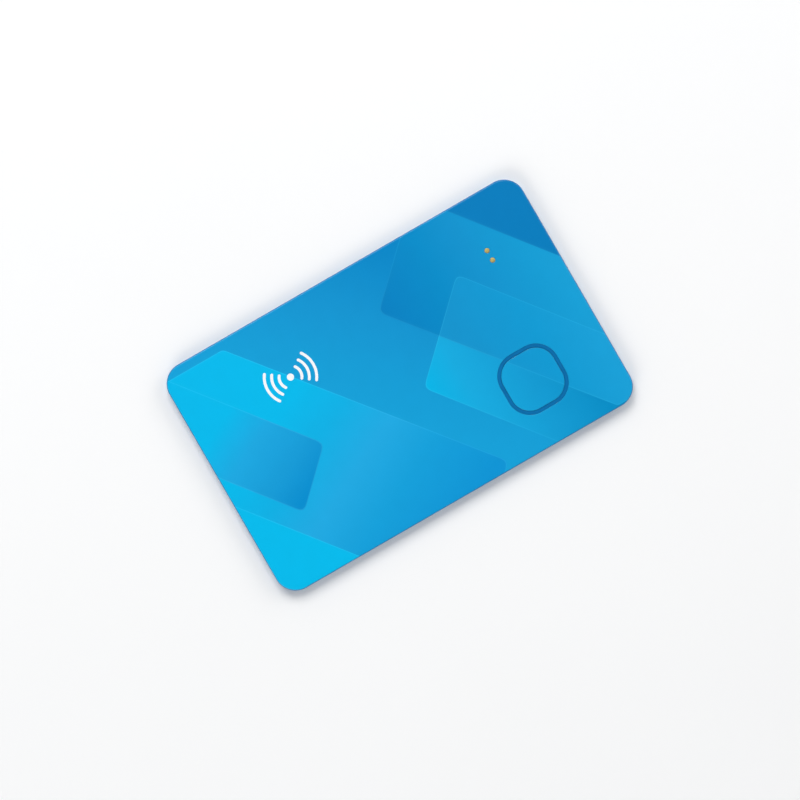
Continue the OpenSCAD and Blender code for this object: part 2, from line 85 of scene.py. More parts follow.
def add_camera():
    face_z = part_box("front_cover")[1].z
    distance = VIEW_WIDTH * LENS / SENSOR
    right = Vector((math.cos(CARD_ANGLE), -math.sin(CARD_ANGLE), 0))
    up = Vector((math.sin(CARD_ANGLE), math.cos(CARD_ANGLE), 0))
    data = bpy.data.cameras.new("camera")
    data.lens = LENS
    data.sensor_width = SENSOR
    data.clip_start = CLIP_START
    camera = link("camera", data)
    camera.location = right * AIM_RIGHT - up * AIM_DOWN + Vector((0, 0, face_z + distance))
    camera.rotation_euler = (0, 0, -CARD_ANGLE)
    bpy.context.scene.camera = camera


def add_softbox(name, place, side, power):
    data = bpy.data.lights.new(name, "AREA")
    data.shape = "SQUARE"
    data.size = side
    data.energy = power
    light = link(name, data)
    light.location = place
    light.rotation_euler = (-light.location).to_track_quat("-Z", "Y").to_euler()


def add_world():
    """A pale room whose ceiling is dimmer than its walls, so that a flat face stays clear of glare."""
    world = bpy.data.worlds.new("studio")
    world.use_nodes = True
    tree = world.node_tree
    room = tree.nodes["Background"]
    where = tree.nodes.new("ShaderNodeTexCoord")
    parts = tree.nodes.new("ShaderNodeSeparateXYZ")
    level = tree.nodes.new("ShaderNodeMapRange")
    level.interpolation_type = "SMOOTHSTEP"
    tree.links.new(where.outputs["Generated"], parts.inputs[0])
    tree.links.new(parts.outputs["Z"], level.inputs["Value"])
    tree.links.new(level.outputs["Result"], room.inputs["Strength"])
    level.inputs["From Min"].default_value = DIM_FROM
    level.inputs["From Max"].default_value = DIM_TO
    level.inputs["To Min"].default_value = ROOM_LEVEL
    level.inputs["To Max"].default_value = CEILING_LEVEL
    room.inputs["Color"].default_value = (1, 1, 1, 1)
    bpy.context.scene.world = world
    bpy.context.scene.view_settings.view_transform = "Standard"


# ---------------------------------------------------------------- shader helpers

NOISE_LOW = 0.3                 # a noise stays between these for the most part
NOISE_HIGH = 0.7


def linear(red, green, blue):
    """A display colour, 0 to 255 a channel, as linear light. The numbers are the sRGB curve's."""
    def one(value):
        v = value / 255
        return v / 12.92 if v <= 0.04045 else ((v + 0.055) / 1.055) ** 2.4
    return (one(red), one(green), one(blue), 1.0)


def tinted(colour, factor):
    return tuple(min(1.0, c * factor) for c in colour[:3]) + (1.0,)


class Shader:
    """A material whose nodes are added by short calls that return sockets. Lengths are millimetres,
    and a texture's scale is about how many of its features fit in one."""

    def __init__(self, name):
        self.material = bpy.data.materials.new(name)
        self.material.use_nodes = True
        self.tree = self.material.node_tree
        self.surface = self.tree.nodes["Principled BSDF"]
        where = self.add("ShaderNodeTexCoord").outputs["Object"]
        self.place = self.scaled(where, (1 / MM,) * 3)

    def add(self, kind, **settings):
        node = self.tree.nodes.new(kind)
        for key, value in settings.items():
            setattr(node, key, value)
        return node

    def plug(self, value, socket):
        if isinstance(value, bpy.types.NodeSocket):
            self.tree.links.new(value, socket)
        else:
            socket.default_value = value

    def scaled(self, vector, factors):
        node = self.add("ShaderNodeVectorMath", operation="MULTIPLY")
        self.plug(vector, node.inputs[0])
        self.plug(factors, node.inputs[1])
        return node.outputs[0]

    def math(self, operation, *values):
        node = self.add("ShaderNodeMath", operation=operation)
        for value, socket in zip(values, node.inputs):
            self.plug(value, socket)
        return node.outputs[0]

    def xyz(self):
        node = self.add("ShaderNodeSeparateXYZ")
        self.plug(self.place, node.inputs[0])
        return node.outputs[0], node.outputs[1], node.outputs[2]

    def along(self, angle):
        """How far a point lies from the card's centre in that direction over the face."""
        x, y, _ = self.xyz()
        return self.math("MULTIPLY_ADD", y, math.sin(angle), self.math("MULTIPLY", x, math.cos(angle)))

    def noise(self, scale, detail=3.0, stretch=None):
        node = self.add("ShaderNodeTexNoise")
        self.plug(self.scaled(self.place, stretch) if stretch else self.place, node.inputs["Vector"])
        node.inputs["Scale"].default_value = scale
        node.inputs["Detail"].default_value = detail
        return node.outputs["Fac"]

    def cells(self, scale, feature="F1", distance="EUCLIDEAN"):
        node = self.add("ShaderNodeTexVoronoi", feature=feature, distance=distance)
        self.plug(self.place, node.inputs["Vector"])
        node.inputs["Scale"].default_value = scale
        return node.outputs["Distance"]

    def remap(self, value, low, high, out_low=0.0, out_high=1.0, smooth=False):
        kind = "SMOOTHSTEP" if smooth else "LINEAR"
        node = self.add("ShaderNodeMapRange", interpolation_type=kind, clamp=True)
        for v, socket in zip((value, low, high, out_low, out_high), node.inputs):
            self.plug(v, socket)
        return node.outputs["Result"]

    def vary(self, noise, low, high):
        """A value that runs from low to high with a noise."""
        return self.remap(noise, NOISE_LOW, NOISE_HIGH, low, high)

    def ramp(self, value, stops):
        """Colours at places along value."""
        low, high = stops[0][0], stops[-1][0]
        node = self.add("ShaderNodeValToRGB")
        self.plug(self.remap(value, low, high), node.inputs["Fac"])
        elements = node.color_ramp.elements
        while len(elements) < len(stops):
            elements.new(0.5)
        for element, (place, colour) in zip(elements, stops):
            element.position = (place - low) / (high - low)
            element.color = colour
        return node.outputs["Color"]

    def mix(self, share, a, b, blend="MIX"):
        node = self.add("ShaderNodeMix", data_type="RGBA", blend_type=blend)
        factor, colour_a, colour_b = node.inputs[0], node.inputs[6], node.inputs[7]
        for value, socket in ((share, factor), (a, colour_a), (b, colour_b)):
            self.plug(value, socket)
        return node.outputs[2]

    def shade(self, colour, noise, low, high):
        """Colour times a grey that runs from low to high with a noise."""
        return self.mix(1.0, colour, self.vary(noise, low, high), blend="MULTIPLY")

    def bump(self, height, depth, strength, after=None):
        node = self.add("ShaderNodeBump")
        self.plug(height, node.inputs["Height"])
        node.inputs["Distance"].default_value = depth * MM
        node.inputs["Strength"].default_value = strength
        if after:
            self.plug(after, node.inputs["Normal"])
        return node.outputs["Normal"]

    def finish(self, colour, rough, normal=None, **fixed):
        self.plug(colour, self.surface.inputs["Base Color"])
        self.plug(rough, self.surface.inputs["Roughness"])
        if normal:
            self.plug(normal, self.surface.inputs["Normal"])
        for name, value in fixed.items():
            self.surface.inputs[name.replace("_", " ")].default_value = value
        return self.material


# ---------------------------------------------------------------- the printed face

# Two families of straight edges make the print's panels. RISE is measured square to the edges that fall
# to the right, and SLIDE square to those that climb, both in millimetres from the card's centre.
RISE_ANGLE = math.radians(38.2)
LEAN_ANGLE = math.radians(38.8)     # two of the falling edges lean a little more
SLIDE_ANGLE = math.radians(-46)

# Where the panels' edges are, along those directions or up the card.
BROAD_LEAN = -6.55
BROAD_SLIDE = 26.3
BROAD_TOP = 24.95
SMALL_RISE = (-32.2, -17.2)
SMALL_SLIDE = -11.85
CORNER_LOW_RISE = -36.4
UPPER_LEAN = 12.55
UPPER_SLIDE = -8.5
UPPER_FOOT = -26.55
CORNER_HIGH_RISE = 37.55
LOWER_RISE = (1.3, 25.95)
LOWER_SLIDE = 5.05

SQUARE_ROUND = 2.4              # blend where two edges meet nearly square
BLUNT_ROUND = 0.8               # blend where they meet at a blunt angle
PRINT_BLUR = 0.05
LINE_WIDTH = 0.16               # the lighter line that runs inside a panel's edge
LINE_TINT = (0.12, 0.95, 1.25, 1.0)
LEFT_GLOW = 0.10                # share of that tint in the line round each panel
UPPER_GLOW = 0.07
CORNER_GLOW = 0.04
CROSSING_GLOW = 0.09
LOWER_GLOW = 0.08

FACE_RIM = (0.07, 0.025)        # how far below the face the print starts, and is whole, round the edge
FACE_ROUGH = 0.275              # the same all over, because a varying one leaves dark specks
HAZE = 0.0055                   # light that the satin coat adds to every colour seen from the front


def dye(red, green, blue):
    """The ink that shows as this display colour under the coat."""
    return tuple(max(0.0, c - HAZE) for c in linear(red, green, blue)[:3]) + (1.0,)


# The inks. A list has places in millimetres with the ink at each, and the ink changes evenly between them:
# along CLIMB in the middle, along FALL in the panels on the left, and along the card on the right.
CLIMB_ANGLE = math.radians(45)
FALL_ANGLE = math.radians(-63)
MIDDLE = [(-24, dye(30, 167, 222)), (0, dye(27, 157, 213)), (12, dye(26, 148, 207)),
          (26, dye(6, 135, 198))]
BROAD = [(-18, dye(1, 185, 235)), (-8, dye(23, 176, 228)), (2, dye(38, 170, 226)),
         (12, dye(27, 160, 218)), (26, dye(22, 149, 213))]
SMALL = [(-27, dye(1, 185, 235)), (-19, dye(34, 168, 224)), (-10, dye(28, 155, 214)),
         (-3.6, dye(8, 142, 207))]
CORNER_LOW = dye(2, 187, 236)
UPPER = [(5, dye(0, 129, 193)), (18, dye(14, 140, 199)), (26, dye(25, 146, 204)),
         (36, dye(26, 155, 210)), (43, dye(30, 160, 214))]
CORNER_HIGH = dye(3, 125, 188)
LOWER = [(5, dye(10, 180, 230)), (12, dye(29, 171, 223)), (24, dye(26, 156, 211)),
         (36, dye(12, 142, 198))]
SHARED = [(16, dye(27, 148, 205)), (30, dye(24, 154, 210)), (43, dye(32, 161, 216))]


def below(g, value, limit):
    """Distance from an edge, negative where value is below the limit."""
    return g.math("SUBTRACT", value, limit)


def above(g, value, limit):
    return g.math("SUBTRACT", limit, value)


def meet(g, a, b, rounding):
    """Distance from the edge of where two panels overlap, with a round corner."""
    return g.math("SMOOTH_MAX", a, b, rounding)


def between(g, value, limits):
    low, high = limits
    return above(g, value, low), below(g, value, high)


def inside(g, distance):
    return g.remap(distance, -PRINT_BLUR, PRINT_BLUR, 1, 0, smooth=True)


def rim_line(g, colour, distance, glow):
    """Adds the lighter line just inside a panel's edge."""
    off_line = g.math("ABSOLUTE", g.math("ADD", distance, LINE_WIDTH / 2))
    line = g.remap(off_line, LINE_WIDTH / 4, LINE_WIDTH * 3 / 4, glow, 0, smooth=True)
    return g.mix(line, colour, LINE_TINT)


def lay(g, under, colour, distance, glow):
    """Puts a panel over the colours below it. Distance is negative inside it."""
    return rim_line(g, g.mix(inside(g, distance), under, colour), distance, glow)


def print_colour(g):
    x, y, _ = g.xyz()
    rise = g.along(RISE_ANGLE)
    lean = g.along(LEAN_ANGLE)
    slide = g.along(SLIDE_ANGLE)
    climb = g.along(CLIMB_ANGLE)
    fall = g.along(FALL_ANGLE)

    broad = meet(g, below(g, lean, BROAD_LEAN), below(g, slide, BROAD_SLIDE), SQUARE_ROUND)
    broad = meet(g, broad, below(g, y, BROAD_TOP), BLUNT_ROUND)
    small_low, small_high = between(g, rise, SMALL_RISE)
    small = meet(g, small_high, below(g, slide, SMALL_SLIDE), SQUARE_ROUND)
    small = meet(g, small, small_low, SQUARE_ROUND)
    upper = meet(g, above(g, lean, UPPER_LEAN), above(g, slide, UPPER_SLIDE), SQUARE_ROUND)
    upper = meet(g, upper, above(g, y, UPPER_FOOT), BLUNT_ROUND)
    lower_low, lower_high = between(g, rise, LOWER_RISE)
    lower = meet(g, lower_low, above(g, slide, LOWER_SLIDE), SQUARE_ROUND)
    lower = meet(g, lower, lower_high, SQUARE_ROUND)

    colour = g.ramp(climb, MIDDLE)
    colour = lay(g, colour, g.ramp(fall, BROAD), broad, LEFT_GLOW)
    colour = lay(g, colour, g.ramp(fall, SMALL), small, LEFT_GLOW)
    colour = lay(g, colour, CORNER_LOW, below(g, rise, CORNER_LOW_RISE), LEFT_GLOW)
    colour = lay(g, colour, g.ramp(x, UPPER), upper, UPPER_GLOW)
    colour = lay(g, colour, CORNER_HIGH, above(g, rise, CORNER_HIGH_RISE), CORNER_GLOW)
    crossing = g.mix(inside(g, upper), g.ramp(x, LOWER), g.ramp(x, SHARED))
    crossing = rim_line(g, crossing, upper, CROSSING_GLOW)
    return lay(g, colour, crossing, lower, LOWER_GLOW)


# ---------------------------------------------------------------- finishes

record = frame["record"]
BASE = {m["slot"]: tuple(m["base_color"]) + (1.0,) for m in record["materials"]}
SLOT_OF = {s["node"]: s["material_slot"] for s in record["subparts"]}


def printed_plastic(slot, face_z):
    """Print under a satin coat on the face, plain blue plastic on the side."""
    g = Shader(slot)
    _, _, z = g.xyz()
    printed = g.shade(print_colour(g), g.noise(8.0, detail=2.0), 0.99, 1.01)
    printed = g.shade(printed, g.noise(0.3, detail=2.0), 0.99, 1.01)
    on_face = g.remap(z, face_z - FACE_RIM[0], face_z - FACE_RIM[1], smooth=True)
    colour = g.mix(on_face, BASE["rear_shell"], printed)
    grain = g.bump(g.noise(2.5, detail=2.0), depth=0.002, strength=0.5)
    return g.finish(colour, FACE_ROUGH, grain, Coat_Weight=0.08, Coat_Roughness=0.15, Specular_IOR_Level=0.3)


def moulded(slot, rough=0.55, grain=10.0, depth=0.006, spread=0.06, **fixed):
    """Moulded plastic, rubber or epoxy with a fine eroded texture."""
    g = Shader(slot)
    colour = g.shade(BASE[slot], g.noise(0.6), 1 - spread, 1 + spread)
    fine = g.noise(grain)
    waves = g.bump(g.noise(grain / 5, detail=2.0), depth, strength=0.3)
    normal = g.bump(fine, depth, strength=0.6, after=waves)
    return g.finish(colour, g.vary(fine, rough - 0.05, rough + 0.05), normal, **fixed)


def metal(slot, rough=0.3, along_x=0.6, along_y=14.0, depth=0.002):
    """Rolled or brushed metal, its fine lines along X."""
    g = Shader(slot)
    lines = g.noise(1.0, detail=4.0, stretch=(along_x, along_y, along_y))
    stain = g.noise(0.8, detail=2.0)
    colour = g.shade(g.shade(BASE[slot], lines, 0.95, 1.03), stain, 0.95, 1.04)
    normal = g.bump(lines, depth, strength=0.5)
    return g.finish(colour, g.vary(lines, rough - 0.03, rough + 0.03), normal, Metallic=1.0)


def cast_metal(slot, rough=0.28, grain=5.0, depth=0.01):
    """Reflowed or plated metal with a cloudy, slightly uneven skin."""
    g = Shader(slot)
    clouds = g.noise(grain, detail=4.0)
    colour = g.shade(BASE[slot], clouds, 0.88, 1.05)
    normal = g.bump(clouds, depth, strength=0.4)
    return g.finish(colour, g.vary(clouds, rough - 0.08, rough + 0.1), normal, Metallic=1.0)


def speckled(slot, rough=0.6, grain=7.0, low=0.8, high=1.12, depth=0.006):
    """Fired ceramic or sintered powder."""
    g = Shader(slot)
    grains = g.cells(grain)
    colour = g.shade(g.shade(BASE[slot], grains, low, high), g.noise(1.2, detail=2.0), 0.95, 1.05)
    return g.finish(colour, rough, g.bump(grains, depth, strength=0.5))


def foam(slot, wall_width=0.12):
    """Open cells: pale walls round the hollows, with painted shade in the hollows and painted light on the
    walls.
    """
    g = Shader(slot)
    to_wall = g.cells(5.0, feature="DISTANCE_TO_EDGE")
    wall = g.remap(to_wall, 0.0, wall_width, 1.0, 0.0, smooth=True)
    # painted shade and painted light: a darker copy of the foam's colour in the hollows and a lighter copy
    # on the walls
    shaded_hollow, pale = tinted(BASE[slot], 0.45), tinted(BASE[slot], 1.3)
    relief = g.bump(wall, depth=0.08, strength=0.8)
    return g.finish(g.mix(wall, shaded_hollow, pale), rough=0.95, normal=relief, Sheen_Weight=0.15)


def tissue(slot):
    """White tape with crossing fibres in it."""
    g = Shader(slot)
    warp = g.noise(1.0, stretch=(0.8, 9.0, 9.0))
    weft = g.noise(1.0, stretch=(9.0, 0.8, 9.0))
    fibres = g.math("MAXIMUM", warp, weft)
    colour = g.shade(BASE[slot], fibres, 0.90, 1.02)
    return g.finish(colour, rough=0.8, normal=g.bump(fibres, depth=0.01, strength=0.5))


def solder_mask(slot, track_edge=(0.05, 0.08), weave_turn=9.0):
    """Green lacquer over fibreglass, with square and slanting copper tracks and the weave under it."""
    g = Shader(slot)
    x, y, _ = g.xyz()
    nearest = g.cells(0.45, feature="F1", distance="CHEBYCHEV")
    second = g.cells(0.45, feature="F2", distance="CHEBYCHEV")
    track = g.remap(g.math("SUBTRACT", second, nearest), *track_edge, 1.0, 0.0, smooth=True)
    weave_x = g.math("SINE", g.math("MULTIPLY", x, weave_turn))
    weave_y = g.math("SINE", g.math("MULTIPLY", y, weave_turn))
    weave = g.remap(g.math("MULTIPLY", weave_x, weave_y), -1, 1, NOISE_LOW, NOISE_HIGH)
    base = g.shade(BASE[slot], weave, 0.92, 1.08)
    colour = g.mix(track, base, tinted(BASE[slot], 1.6))
    relief = g.bump(track, depth=0.02, strength=0.5)
    return g.finish(colour, rough=0.32, normal=relief, Coat_Weight=0.3, Coat_Roughness=0.15)


def foil(slot):
    """Laminated foil, embossed by the press and slightly wrinkled."""
    g = Shader(slot)
    creases = g.noise(0.22, detail=5.0)
    colour = g.shade(BASE[slot], creases, 0.95, 1.02)
    wrinkled = g.bump(creases, depth=0.05, strength=0.5)
    normal = g.bump(g.cells(1.6), depth=0.015, strength=0.3, after=wrinkled)
    return g.finish(colour, g.vary(creases, 0.35, 0.40), normal, Metallic=1.0)


def glue(slot):
    """Glossy adhesive with slight ripples."""
    g = Shader(slot)
    ripples = g.noise(2.5)
    colour = g.shade(BASE[slot], ripples, 0.9, 1.05)
    return g.finish(colour, rough=0.35, normal=g.bump(ripples, depth=0.02, strength=0.5), Coat_Weight=0.2)


def film(slot):
    """Glossy amber film with a faint haze."""
    g = Shader(slot)
    haze = g.noise(1.5, detail=4.0)
    colour = g.shade(BASE[slot], haze, 0.85, 1.08)
    normal = g.bump(haze, depth=0.006, strength=0.4)
    return g.finish(colour, g.vary(haze, 0.18, 0.3), normal, Coat_Weight=0.4, Coat_Roughness=0.1)


def ink(slot):
    """Screen-printed white, with the mesh's faint texture in it."""
    g = Shader(slot)
    mesh = g.noise(9.0, detail=2.0)
    colour = g.shade(BASE[slot], mesh, 0.975, 1.01)
    colour = g.shade(colour, g.noise(1.0, detail=2.0), 0.98, 1.01)
    normal = g.bump(mesh, depth=0.004, strength=0.5)
    return g.finish(colour, g.vary(mesh, 0.42, 0.52), normal, Coat_Weight=0.1)


FINE_GRAIN = {"grain": 12.0, "depth": 0.004}
FINISHES = {
    "rear_shell": partial(moulded, grain=7.0, depth=0.012, spread=0.03, Specular_IOR_Level=0.45),
    "ring_rubber": partial(moulded, rough=0.62, grain=12.0, depth=0.003, Specular_IOR_Level=0.1),
    "white_ink": ink,
    "clear_adhesive": glue,
    "gold_plate": partial(metal, rough=0.55, along_x=3.0, along_y=9.0),
    "spring_alloy": metal,
    "black_rubber": partial(moulded, rough=0.75),
    "dome_steel": partial(metal, rough=0.22),
    "dome_film": film,
    "board_green": solder_mask,
    "pad_gold": partial(cast_metal, rough=0.3),
    "copper_trace": partial(metal, rough=0.35),
    "chip_black": partial(moulded, rough=0.5, **FINE_GRAIN),
    "sensor_black": partial(moulded, rough=0.45, **FINE_GRAIN),
    "can_metal": partial(metal, rough=0.25),
    "ferrite": speckled,
    "capacitor_ceramic": partial(speckled, rough=0.5, grain=14.0, low=0.9, high=1.08),
    "resistor_black": partial(moulded, rough=0.25, grain=8.0, depth=0.004, Coat_Weight=0.3),
    "tin_plate": partial(cast_metal, rough=0.38, grain=9.0),
    "solder": partial(cast_metal, rough=0.25, grain=4.0, depth=0.015),
    "pouch_foil": foil,
    "white_tape": tissue,
    "grey_foam": foam,
    "nickel": metal,
    "red_wire": partial(moulded, rough=0.4, grain=8.0),
    "black_wire": partial(moulded, rough=0.4, grain=8.0),
    "brass_plate": partial(metal, rough=0.32, along_x=0.4, along_y=12.0, depth=0.001),
    "piezo_ceramic": partial(speckled, rough=0.65, grain=9.0, low=0.93, high=1.04, depth=0.004),
    "silver_print": partial(cast_metal, rough=0.42, grain=7.0, depth=0.006),
}


def make_finishes(face_z):
    finishes = {slot: printed_plastic(slot, face_z) for slot in ("front_shell", "button_plastic")}
    finishes.update({slot: build(slot) for slot, build in FINISHES.items()})
    return finishes


# ---------------------------------------------------------------- mesh helpers

SHARP_ANGLE = math.radians(35)  # faces that meet at more than this keep a sharp edge
EVEN_WEIGHT = 100               # how far the largest faces beside a point set its shading


def outline(half_l, half_w, radius, steps, centre=(0, 0)):
    """Points of a rectangle with round corners, the same number whatever its size."""
    points = []
    for quarter, (sx, sy) in enumerate(((1, 1), (-1, 1), (-1, -1), (1, -1))):
        for k in range(steps + 1):
            turn = math.pi / 2 * (quarter + k / steps)
            points.append((centre[0] + sx * (half_l - radius) + radius * math.cos(turn),
                           centre[1] + sy * (half_w - radius) + radius * math.sin(turn)))
    return points


def circle(radius, steps, centre=(0, 0)):
    return [(centre[0] + radius * math.cos(2 * math.pi * k / steps),
             centre[1] + radius * math.sin(2 * math.pi * k / steps)) for k in range(steps)]


def arc_band(radius, width, half_angle, turn, centre, steps, end_steps):
    """Points round an arc of that line width, with half-round ends."""
    points = []

    def add(r, angle, off=0.0, off_angle=0.0):
        points.append((centre[0] + r * math.cos(angle) + off * math.cos(off_angle),
                       centre[1] + r * math.sin(angle) + off * math.sin(off_angle)))

    first, last = turn - half_angle, turn + half_angle
    for k in range(steps + 1):
        add(radius + width / 2, first + (last - first) * k / steps)
    for k in range(1, end_steps):
        add(radius, last, width / 2, last + math.pi * k / end_steps)
    for k in range(steps + 1):
        add(radius - width / 2, last + (first - last) * k / steps)
    for k in range(1, end_steps):
        add(radius, first, width / 2, first + math.pi * (1 + k / end_steps))
    return points


def rounded(inset, z, radius, steps, start=0, end=90, up=1):
    """Section points round an edge: (inset, z) is the centre of its arc."""
    points = []
    for k in range(steps + 1):
        turn = math.radians(start + (end - start) * k / steps)
        points.append((inset - radius * math.cos(turn), z + up * radius * math.sin(turn)))
    return points


class Solid:
    """A closed mesh made of stacked loops, in millimetres."""

    def __init__(self, name):
        self.name = name
        self.bm = bmesh.new()

    def loop(self, points, z):
        return [self.bm.verts.new((x * MM, y * MM, z * MM)) for x, y in points]

    def bridge(self, low, high):
        count = len(low)
        for k in range(count):
            self.bm.faces.new((low[k], low[(k + 1) % count], high[(k + 1) % count], high[k]))

    def stack(self, section, shape, closed=False):
        """A loop at each (inset, z) of a section, joined in turn. Returns the first and the last."""
        loops = [self.loop(shape(inset), z) for inset, z in section]
        for low, high in zip(loops, loops[1:]):
            self.bridge(low, high)
        if closed:
            self.bridge(loops[-1], loops[0])
        return loops[0], loops[-1]

    def fill(self, *loops):
        """The flat face inside the first loop and outside the others."""
        edges = []
        for loop in loops:
            for a, b in zip(loop, loop[1:] + loop[:1]):
                edges.append(self.bm.edges.get((a, b)) or self.bm.edges.new((a, b)))
        bmesh.ops.triangle_fill(self.bm, edges=edges, use_beauty=True)

    def place(self, material):
        """The mesh as an object in the scene."""
        mesh = bpy.data.meshes.new(self.name)
        self.bm.to_mesh(mesh)
        self.bm.free()
        mesh.materials.append(material)
        return link(self.name, mesh)

    def make(self, material, body, slot, *nodes):
        """A smooth visual piece that takes the place of CAD nodes."""
        bmesh.ops.recalc_face_normals(self.bm, faces=self.bm.faces)
        piece = self.place(material)
        piece.data.shade_smooth()
        piece.data.set_sharp_from_angle(angle=SHARP_ANGLE)
        even = piece.modifiers.new("even_normals", "WEIGHTED_NORMAL")
        even.keep_sharp = True
        even.weight = EVEN_WEIGHT
        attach(piece, body)
        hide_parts(*nodes)
        return piece


def in_mm(node):
    low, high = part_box(node)
    return low / MM, high / MM


def middle(low, high):
    return ((low.x + high.x) / 2, (low.y + high.y) / 2)


# ---------------------------------------------------------------- sizes shared by the outer pieces

CORNER_R = 4.6
EDGE_R = 0.35
WALL = 1.3
LIP = 0.45
LIP_GAP = 0.05
LIP_RISE = 0.4
LIP_LEAD = 0.06
RING_R = 5.1
RING_W = 0.8
HEAD_R = 0.55
BREAK = 0.04                    # the small round on a moulded edge
FLAT = 0.12                     # a flat strip beside a round edge keeps the broad face's shading even

CORNER_STEPS = 24               # points round a quarter, a broad edge, a fine one and a small one
ROUND_STEPS = 10
FINE_STEPS = 5
SMALL_STEPS = 3
HOLE_STEPS = 48                 # points round a small circle and a wide one
WIDE_STEPS = 96

card_low, card_high = in_mm("front_cover")
ring_low, ring_high = in_mm("button_ring")
pad_low, pad_high = in_mm("button_pad")
contact_low, contact_high = in_mm("charging_contacts")
mark_low, mark_high = in_mm("face_mark")
board_low, board_high = in_mm("circuit_board")
sounder_low, sounder_high = in_mm("sounder_plate")
PIN_TOP = in_mm("rear_cover")[1].z
CEILING = in_mm("battery_foam")[1].z
FLOOR = in_mm("sounder_adhesive")[0].z
SEAM = in_mm("perimeter_adhesive")[0].z
RING_CENTRE = middle(ring_low, ring_high)
RING_HALF = (ring_high.x - ring_low.x) / 2
FLANGE_R = (contact_high.x - contact_low.x) / 2
CONTACT_X = (contact_low.x + contact_high.x) / 2
CONTACTS = [(CONTACT_X, contact_low.y + FLANGE_R), (CONTACT_X, contact_high.y - FLANGE_R)]


def card_shape(inset):
    return outline(card_high.x - inset, card_high.y - inset, CORNER_R - inset, CORNER_STEPS)


def ring_shape(inset):
    half = RING_HALF - inset
    return outline(half, half, RING_R - inset, CORNER_STEPS, RING_CENTRE)


def round_shape(radius, centre, steps=HOLE_STEPS):
    return lambda inset: circle(radius - inset, steps, centre)


# ---------------------------------------------------------------- front cover

RING_LEDGE = 0.4
HOLE_GAP = 0.02


def mouth(top):
    """Section points round the rim of an opening, up to the face it opens in."""
    points = []
    for k in range(SMALL_STEPS + 1):
        turn = math.pi / 2 * k / SMALL_STEPS
        points.append((BREAK * (math.cos(turn) - 1), top - BREAK * (1 - math.sin(turn))))
    return points + [(-BREAK - FLAT, top)]


def build_front_shell(material):
    shell = Solid("front_shell")
    low, top = card_low.z, card_high.z
    rebate_z = SEAM + LIP_RISE + LIP_GAP
    rebate = WALL - LIP - LIP_GAP
    section = [(WALL, CEILING), (WALL, rebate_z), (rebate, rebate_z), (rebate, low)]
    section += rounded(BREAK, low + BREAK, BREAK, SMALL_STEPS, 90, 0, up=-1)
    section += rounded(EDGE_R, top - EDGE_R, EDGE_R, ROUND_STEPS) + [(EDGE_R + FLAT, top)]
    ceiling_rim, face_rim = shell.stack(section, card_shape)
    ledge = [(RING_LEDGE, CEILING), (RING_LEDGE, ring_low.z), (0, ring_low.z)]
    rims = [shell.stack(ledge + mouth(top), ring_shape)]
    for place in CONTACTS:
        rims.append(shell.stack([(0, CEILING)] + mouth(top), round_shape(HEAD_R + HOLE_GAP, place)))
    shell.fill(ceiling_rim, *[low_rim for low_rim, _ in rims])
    shell.fill(face_rim, *[high_rim for _, high_rim in rims])
    return shell.make(material, "case", "front_shell", "front_cover")


# ---------------------------------------------------------------- rear cover

POST_R = 1.1
PIN_R = 0.5
POST_IN = 2.6                   # from the board's left or lower edge to a post
POST_IN_RIGHT = 2.8
POST_IN_TOP = 1.8
RIGHT_PIN_Y = 8.6
LEFT_POSTS_Y = (1.4, -11.6)
RIGHT_POST_Y = -3.6
MIDDLE_POST = (22.6, 3.0)
TOP_POST_X = 27.4
LOW_POST_X = 20.4

FENCE_X = 2.8
FENCE_T = 0.5
FENCE_HALF = 22.0
FENCE_RISE = 0.6

COLLAR_GAP = 0.15
COLLAR_T = 0.25
COLLAR_RISE = 0.2


def add_posts(shell):
    """The board's six posts and its three locating pins, each on a post of its own."""
    left, right = board_low.x + POST_IN, board_high.x - POST_IN_RIGHT
    low, top = POST_IN - board_high.y, board_high.y - POST_IN_TOP
    pins = [(left, low), (right, low), (right, RIGHT_PIN_Y)]
    posts = [(left, LEFT_POSTS_Y[0]), MIDDLE_POST, (right, RIGHT_POST_Y), (TOP_POST_X, top),
             (LOW_POST_X, low), (left, LEFT_POSTS_Y[1])]
    rise = board_low.z
    feet = []
    for place in pins + posts:
        foot, head = shell.stack([(0, FLOOR), (0, rise - BREAK), (BREAK, rise)], round_shape(POST_R, place))
        feet.append(foot)
        if place in pins:
            pin_section = [(0, rise), (0, PIN_TOP - LIP_LEAD), (LIP_LEAD, PIN_TOP)]
            pin_foot, pin_head = shell.stack(pin_section, round_shape(PIN_R, place))
            shell.fill(head, pin_foot)
            head = pin_head
        shell.fill(head)
    return feet


def add_fence(shell):
    """The wall beside the battery."""
    top = FLOOR + FENCE_RISE
    centre = (FENCE_X + FENCE_T / 2, 0)

    def fence_shape(inset):
        return outline(FENCE_T / 2 - inset, FENCE_HALF - inset, BREAK * 2 - inset, SMALL_STEPS, centre)

    foot, head = shell.stack([(0, FLOOR), (0, top - BREAK), (BREAK, top)], fence_shape)
    shell.fill(head)
    return foot


def add_collar(shell):
    """The low ring round the sounder, with the floor inside it."""
    centre = middle(sounder_low, sounder_high)
    radius = (sounder_high.x - sounder_low.x) / 2 + COLLAR_GAP
    section = [(0, FLOOR), (0, FLOOR + COLLAR_RISE)]
    outer_foot, outer_head = shell.stack(section, round_shape(radius + COLLAR_T, centre, WIDE_STEPS))
    inner_foot, inner_head = shell.stack(section, round_shape(radius, centre, WIDE_STEPS))
    shell.fill(outer_head, inner_head)
    shell.fill(inner_foot)
    return outer_foot


